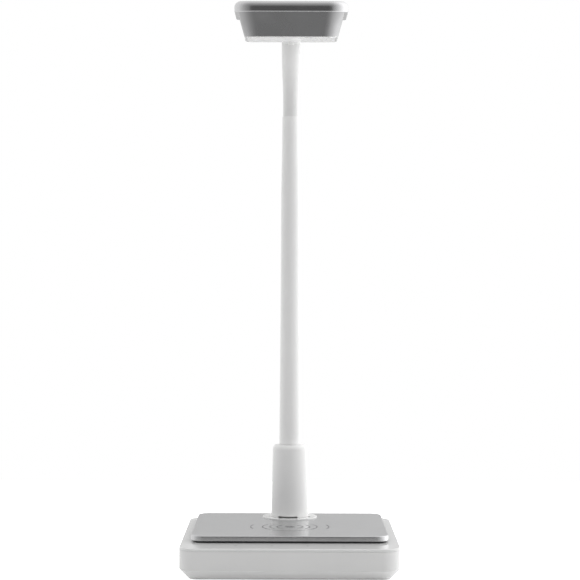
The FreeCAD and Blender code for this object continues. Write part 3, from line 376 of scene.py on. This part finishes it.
# ---- gooseneck sleeve, inner lead and hinge boot ---------------------------------
SLEEVE_R = 7.0 * MM
SLEEVE_WALL = 1.15 * MM
LEAD_R = 1.0 * MM
LEAD_CORE_R = 0.4 * MM        # the copper inside the lead's jacket, left hollow
TUBE_SIDES = 64
TUBE_STEPS = 12               # rings along one joint's stretch
FLARE = 1.1 * MM              # how much wider the sleeve is where it meets the boot
FLARE_START = 0.3             # share of the neck's bend where the flare begins
BOOT_R = SLEEVE_R + FLARE
BOOT_WALL = 0.75 * MM
BOOT_FOOT = 9.82 * MM         # below the hinge pin, along the knuckle
BOOT_REACH = 6.05 * MM        # from the pin to where the boot's arc begins and ends
BOOT_LIP = 0.3 * MM           # the boot's last straight stretch, up to the bracket
HEAD_DROOP = math.radians(6.1)          # the head's front is this much lower at rest


def tube(stations):
    """A bmesh of a closed tube wall.

    Each station along it is (middle, out, outer radius, inner radius), where out is square
    to the tube's line, in the plane of its bend.
    """
    bm = bmesh.new()
    rings = []
    for middle, out, *walls in stations:
        for wall in walls:
            ring = []
            for side in range(TUBE_SIDES):
                turn = 2 * math.pi * side / TUBE_SIDES
                across = Vector((math.sin(turn), 0, 0)) + out * math.cos(turn)
                ring.append(bm.verts.new(middle + across * wall))
            rings.append(ring)
    for step in range(len(stations) - 1):
        outer, inner, next_outer, next_inner = rings[2 * step:2 * step + 4]
        for side in range(TUBE_SIDES):
            other = (side + 1) % TUBE_SIDES
            bm.faces.new((outer[side], outer[other], next_outer[other], next_outer[side]))
            bm.faces.new((inner[other], inner[side], next_inner[side], next_inner[other]))
    for outer, inner, flip in ((rings[0], rings[1], False), (rings[-2], rings[-1], True)):
        for side in range(TUBE_SIDES):
            other = (side + 1) % TUBE_SIDES
            face = (outer[other], outer[side], inner[side], inner[other])
            bm.faces.new(face[::-1] if flip else face)
    bmesh.ops.recalc_face_normals(bm, faces=bm.faces)
    for ring in (rings[0], rings[1], rings[-2], rings[-1]):
        ends = set(ring)
        for vert in ring:
            for edge in vert.link_edges:
                if edge.other_vert(vert) in ends:
                    edge.smooth = False
    return bm


def up_along(lean):
    """The way up a line that leans forward by an angle."""
    return Vector((0.0, -math.sin(lean), math.cos(lean)))


def back_of(lean):
    """The way out of such a line at its back, square to it."""
    return Vector((0.0, math.cos(lean), math.sin(lean)))


def sleeve_walls(share):
    """Outer and inner radius at a share of the neck's bend: straight, then a soft flare."""
    rise = max(0.0, (share - FLARE_START) / (1 - FLARE_START))
    outer = SLEEVE_R + FLARE * rise * rise * (3 - 2 * rise)
    return outer, outer - SLEEVE_WALL


def neck():
    """Sleeve and inner lead, in pieces that each bend across their own joint of one arc.

    Returns how far the neck leans forward at its top.
    """
    joints = {joint["name"]: joint for joint in frame["joints"]}
    start_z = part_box("stem")[1].z
    first = Vector(joints["neck_bend_1"]["pos_m"])
    second = Vector(joints["neck_bend_2"]["pos_m"])
    half_link = first.z - start_z
    lean = math.atan2(first.y - second.y, second.z - first.z)
    radius = half_link / math.tan(lean / 2)
    centre = Vector((0.0, first.y - radius, start_z))
    count = sum(name.startswith("neck_bend_") for name in joints)

    def stretch(k, name, slot, node, walls):
        """The tube across joint k; walls gives its two radii at a share of the bend."""
        stations = []
        for step in range(TUBE_STEPS + 1):
            turns = k - 1 + step / TUBE_STEPS
            out = back_of(lean * turns)
            stations.append((centre + out * radius, out, *walls(turns / count)))
        made = piece(f"{name}_{k}", tube(stations), slot, None)
        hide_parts(node)
        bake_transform(made)

    for k in range(1, count + 1):
        stretch(k, "sleeve", "sleeve_rubber", f"neck_sleeve_{k}", sleeve_walls)
        stretch(k, "lead", "lead_jacket", "neck_lead", lambda share: (LEAD_R, LEAD_CORE_R))
    return lean * count


def boot(neck_lean):
    """Soft cover over the tilt hinge: straight on the knuckle, then one arc to the head."""
    hinge = {joint["name"]: joint for joint in frame["joints"]}["head_tilt"]
    pin = Vector(hinge["pos_m"])
    turn = neck_lean - HEAD_DROOP
    radius = BOOT_REACH / math.tan(turn / 2)
    begin = pin - up_along(neck_lean) * BOOT_REACH
    centre = begin + back_of(neck_lean) * radius
    walls = (BOOT_R, BOOT_R - BOOT_WALL)
    foot = pin - up_along(neck_lean) * BOOT_FOOT
    stations = [(foot, back_of(neck_lean), *walls)]
    steps = 2 * TUBE_STEPS
    for step in range(steps + 1):
        lean = neck_lean - turn * step / steps
        stations.append((centre - back_of(lean) * radius, back_of(lean), *walls))
    finish = pin + up_along(HEAD_DROOP) * (BOOT_REACH + BOOT_LIP)
    stations.append((finish, back_of(HEAD_DROOP), *walls))
    made = piece("boot", tube(stations), "sleeve_rubber", None)
    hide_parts("hinge_boot")
    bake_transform(made)


# ---- printed marks ---------------------------------------------------------------
# Radii and widths are in millimetres, angles in degrees.
MARK_DISC_R = 4.2
MARK_ARCS = ((11.0, 52), (17.1, 40), (23.3, 36), (33.3, 20))    # radius, half angle
MARK_LINE = 1.1
MARK_HINT = (23.6, 0.5, 62)      # fine stroke at the front: radius, width, half angle
DOT_R = 1.0
DOT_LONG = 2.2                   # the dot is drawn longer towards the front
DOT_AT = (17.2, -6.6)            # from the arm's axis, on the foot ring
MARK_HEIGHT = 0.05 * MM
MARK_STEPS = 24


def flat_band(bm, centre, radius, width, middle, half):
    """A thin printed stroke along an arc, with a little height so it is real geometry.

    It reaches half degrees to both sides of the angle middle. One whose width reaches its
    own centre is a whole disc, without an inner wall or ends.
    """
    disc = math.isclose(2 * radius, width)
    lift = Vector((0, 0, MARK_HEIGHT))
    inner, outer, inner_top, outer_top = [], [], [], []
    for step in range(MARK_STEPS + 1):
        angle = math.radians(middle - half + 2 * half * step / MARK_STEPS)
        way = Vector((math.cos(angle), math.sin(angle), 0))
        low = centre + way * (radius - width / 2) * MM
        high = centre + way * (radius + width / 2) * MM
        inner.append(bm.verts.new(low))
        outer.append(bm.verts.new(high))
        inner_top.append(bm.verts.new(low + lift))
        outer_top.append(bm.verts.new(high + lift))
    for i in range(MARK_STEPS):
        bm.faces.new((inner_top[i], outer_top[i], outer_top[i + 1], inner_top[i + 1]))
        bm.faces.new((inner[i + 1], outer[i + 1], outer[i], inner[i]))
        bm.faces.new((outer[i], outer[i + 1], outer_top[i + 1], outer_top[i]))
        if not disc:
            bm.faces.new((inner[i + 1], inner[i], inner_top[i], inner_top[i + 1]))
    for i in () if disc else (0, MARK_STEPS):
        bm.faces.new((inner[i], outer[i], outer_top[i], inner_top[i]))


def printed(name, bm):
    """A printed mark on the base, from its strokes."""
    bmesh.ops.remove_doubles(bm, verts=bm.verts, dist=WELD)
    bmesh.ops.recalc_face_normals(bm, faces=bm.faces)
    piece(name, bm, "key_print", "base", smooth=False)


def charge_mark():
    """Arcs spreading to both sides of a small disc, printed where the coil lies."""
    bm = bmesh.new()
    for radius, half in MARK_ARCS:
        for side in (0, 180):
            flat_band(bm, MARK_CENTRE, radius, MARK_LINE, side, half)
    radius, width, half = MARK_HINT
    flat_band(bm, MARK_CENTRE, radius, width, -90, half)
    flat_band(bm, MARK_CENTRE, MARK_DISC_R / 2, MARK_DISC_R, 0, 180)
    printed("charge_mark", bm)


def ring_dot():
    """Small index dot printed on the foot ring, beside the collar."""
    low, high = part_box("foot_ring")
    middle = (low + high) / 2
    place = Vector((middle.x + DOT_AT[0] * MM, middle.y + DOT_AT[1] * MM, high.z))
    bm = bmesh.new()
    flat_band(bm, place, DOT_R / 2, DOT_R, 0, 180)
    bmesh.ops.scale(bm, vec=(1, DOT_LONG, 1), space=Matrix.Translation(-place), verts=bm.verts)
    printed("ring_dot", bm)


# ---- thin edges ------------------------------------------------------------------
LIP_SET_BACK = 0.15 * MM         # behind the drawer's front face
LIP_DEPTH = 1.2 * MM             # from front to back
LIP_H = 0.2 * MM                 # in the drawer's 0.3 mm top seam
LIP_PROFILE = ((0, 0), (0, LIP_H * 0.7), (LIP_H * 0.4, LIP_H), (LIP_DEPTH, LIP_H),
               (LIP_DEPTH, 0))   # inward and up: the front edge is chamfered
DRAWER_CORNER = 15.0 * MM        # radius of the drawer front's corners
CORNER_STEPS = 12
OPAL_EDGE_T = 0.3 * MM


def drawer_lip():
    """Soft white lip along the drawer front's top edge, which nearly fills the seam."""
    low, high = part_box("drawer_front")
    bm = bmesh.new()
    rows = []
    for first_turn, middle_x in ((-90, low.x + DRAWER_CORNER), (0, high.x - DRAWER_CORNER)):
        middle = Vector((middle_x, low.y + DRAWER_CORNER, high.z))
        for step in range(CORNER_STEPS + 1):
            turn = math.radians(first_turn + 90 * step / CORNER_STEPS)
            out = Vector((math.sin(turn), -math.cos(turn), 0))
            place = middle + out * (DRAWER_CORNER - LIP_SET_BACK)
            rows.append([bm.verts.new(place - out * inward + Vector((0, 0, up)))
                         for inward, up in LIP_PROFILE])
    count = len(LIP_PROFILE)
    for row, following in zip(rows, rows[1:]):
        for i in range(count):
            j = (i + 1) % count
            bm.faces.new((row[i], row[j], following[j], following[i]))
    bm.faces.new(rows[0])
    bm.faces.new(rows[-1])
    bmesh.ops.recalc_face_normals(bm, faces=bm.faces)
    piece("drawer_lip", bm, "drawer_plastic", "drawer", smooth=False)


def diffuser_edge():
    """Thin opal edge of the diffuser, laid over the rim of the head's housing."""
    down = -up_along(HEAD_DROOP)
    housing = frame["nodes"]["head_body"]
    bm = bmesh.new()
    bm.from_mesh(housing.data)
    bm.transform(housing.matrix_world)
    foot = max(vert.co.dot(down) for vert in bm.verts)
    above = [face for face in bm.faces
             if any(foot - vert.co.dot(down) > OPAL_EDGE_T / 10 for vert in face.verts)]
    bmesh.ops.delete(bm, geom=above, context="FACES")
    bmesh.ops.remove_doubles(bm, verts=bm.verts, dist=WELD)
    made = bmesh.ops.extrude_face_region(bm, geom=bm.faces[:])
    moved = [item for item in made["geom"] if isinstance(item, bmesh.types.BMVert)]
    bmesh.ops.translate(bm, vec=down * OPAL_EDGE_T, verts=moved)
    bmesh.ops.recalc_face_normals(bm, faces=bm.faces)
    piece("diffuser_edge", bm, "diffuser", "head", smooth=False)


# ---- stage, light and camera -----------------------------------------------------
FLOOR_HALF = 0.6         # metres
FLOOR_SHADE = 0.94
# The light from each direction of the room is a product of factors. A span is where a
# factor rises, on the direction's own axis from -1 to 1. A spot is at its dim factor within
# its first angle, in degrees, and at 1 past its second.
SIDE_LEFT = 1.03
SIDE_RIGHT = 1.9
SIDE_SPAN = (-0.1, 0.9)
FRONT_LOW = 0.24
FRONT_SPAN = (-1.0, 0.22)
CORE_WAY = (0.0, -1.0, -0.07)            # the dark place where the camera stands
CORE_DIM = 0.42
CORE_ANGLES = (12.0, 24.0)
BACK_WAY = (0.0, 1.0, 0.05)              # the shaded wall straight behind the lamp
BACK_DIM = 0.56
BACK_ANGLES = (4.0, 22.0)


def floor():
    """White paper: pure white to the camera, as in a cut-out picture."""
    bm = bmesh.new()
    bmesh.ops.create_grid(bm, x_segments=1, y_segments=1, size=FLOOR_HALF)
    mesh = bpy.data.meshes.new("floor")
    bm.to_mesh(mesh)
    bm.free()
    made = bpy.data.objects.new("floor", mesh)
    bpy.context.scene.collection.objects.link(made)
    paper = Finish("pale_floor", (FLOOR_SHADE,) * 3, 0.8)
    paper.mottle(paper.noise(3, 2), 0.004)
    rays = paper.node("ShaderNodeLightPath")
    paper.link(rays.outputs["Is Camera Ray"], paper.shader.inputs["Emission Strength"])
    paper.set(Emission_Color=WHITE)
    mesh.materials.append(paper.material)
    made.visible_glossy = False


def surroundings():
    """Bright walls, brightest on the right, and a dim front where the camera stands."""
    world = bpy.data.worlds.new("studio")
    bpy.context.scene.world = world
    world.use_nodes = True
    tree = world.node_tree
    tree.nodes.clear()
    output = tree.nodes.new("ShaderNodeOutputWorld")
    place = tree.nodes.new("ShaderNodeTexCoord").outputs["Generated"]
    split = tree.nodes.new("ShaderNodeSeparateXYZ")
    tree.links.new(place, split.inputs["Vector"])

    def ramp(source, low, high, span, kind="SMOOTHSTEP"):
        """A factor that runs from low to high across a span of source."""
        made = tree.nodes.new("ShaderNodeMapRange")
        made.interpolation_type = kind
        made.inputs["From Min"].default_value = span[0]
        made.inputs["From Max"].default_value = span[1]
        made.inputs["To Min"].default_value = low
        made.inputs["To Max"].default_value = high
        tree.links.new(source, made.inputs["Value"])
        return made.outputs["Result"]

    def spot(way, dim, angles):
        """A factor that falls from 1 to dim close to one direction."""
        near = tree.nodes.new("ShaderNodeVectorMath")
        near.operation = "DOT_PRODUCT"
        near.inputs[1].default_value = way
        tree.links.new(place, near.inputs[0])
        inner, outer = (math.cos(math.radians(angle)) for angle in angles)
        return ramp(near.outputs["Value"], 1.0, dim, (outer, inner))

    def times(one, other):
        made = tree.nodes.new("ShaderNodeMath")
        made.operation = "MULTIPLY"
        tree.links.new(one, made.inputs[0])
        tree.links.new(other, made.inputs[1])
        return made.outputs["Value"]

    strength = ramp(split.outputs["X"], SIDE_LEFT, SIDE_RIGHT, SIDE_SPAN)
    for factor in (ramp(split.outputs["Y"], FRONT_LOW, 1.0, FRONT_SPAN, "LINEAR"),
                   spot(CORE_WAY, CORE_DIM, CORE_ANGLES),
                   spot(BACK_WAY, BACK_DIM, BACK_ANGLES)):
        strength = times(strength, factor)
    lit = tree.nodes.new("ShaderNodeBackground")
    tree.links.new(strength, lit.inputs["Strength"])
    seen = tree.nodes.new("ShaderNodeBackground")
    for shade in (lit, seen):
        shade.inputs["Color"].default_value = WHITE
    rays = tree.nodes.new("ShaderNodeLightPath")
    mix = tree.nodes.new("ShaderNodeMixShader")
    tree.links.new(rays.outputs["Is Camera Ray"], mix.inputs["Fac"])
    tree.links.new(lit.outputs["Background"], mix.inputs[1])
    tree.links.new(seen.outputs["Background"], mix.inputs[2])
    tree.links.new(mix.outputs["Shader"], output.inputs["Surface"])


def camera():
    """Straight in front, on the level, with the horizon and roll of a long lens's picture."""
    data = bpy.data.cameras.new("camera")
    data.sensor_fit = "HORIZONTAL"
    data.sensor_width = SENSOR
    data.lens = FOCAL_PX * SENSOR / FRAME_PX
    data.clip_end = CAMERA_REACH
    made = bpy.data.objects.new("camera", data)
    dip = math.atan((FRAME_PX / 2 - HORIZON_PX) / FOCAL_PX)
    made.location = CAMERA_AT
    level = Euler((math.pi / 2 - dip, 0, 0)).to_matrix()
    made.rotation_euler = (level @ Matrix.Rotation(CAMERA_ROLL, 3, "Z")).to_euler()
    bpy.context.scene.collection.objects.link(made)
    bpy.context.scene.camera = made


bpy.context.scene.view_settings.view_transform = "Standard"
dress_nodes()
boot(neck())
charge_mark()
ring_dot()
drawer_lip()
diffuser_edge()
floor()
surroundings()
camera()
